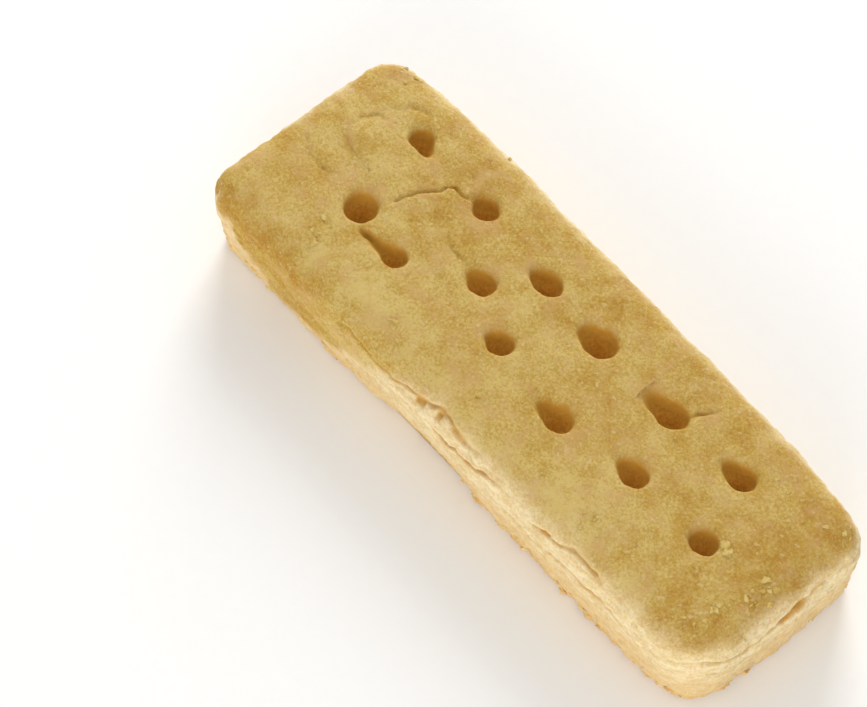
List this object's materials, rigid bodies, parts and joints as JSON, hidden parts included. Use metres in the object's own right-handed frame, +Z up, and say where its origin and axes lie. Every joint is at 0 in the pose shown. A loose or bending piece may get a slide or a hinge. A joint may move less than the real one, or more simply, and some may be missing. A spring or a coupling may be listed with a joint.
{
  "type": "shortbread biscuit",
  "caption": "Baked shortbread finger: a thick bar with soft rounded edges, a flaky seam along its sides and docking holes pricked deep into its top.",
  "frame": {"origin": "centre of the finger's bounding box at its flat base", "axes": "+X along the length towards the narrower end, +Y across, +Z up out of the pricked top"},
  "size_m": [0.075, 0.0264, 0.0126],
  "materials": {
    "shortbread": "matt, crumbly baked butter dough, pale gold"
  },
  "bodies": {
    "root": {"shortbread_finger": "shortbread"}
  },
  "joints": []
}
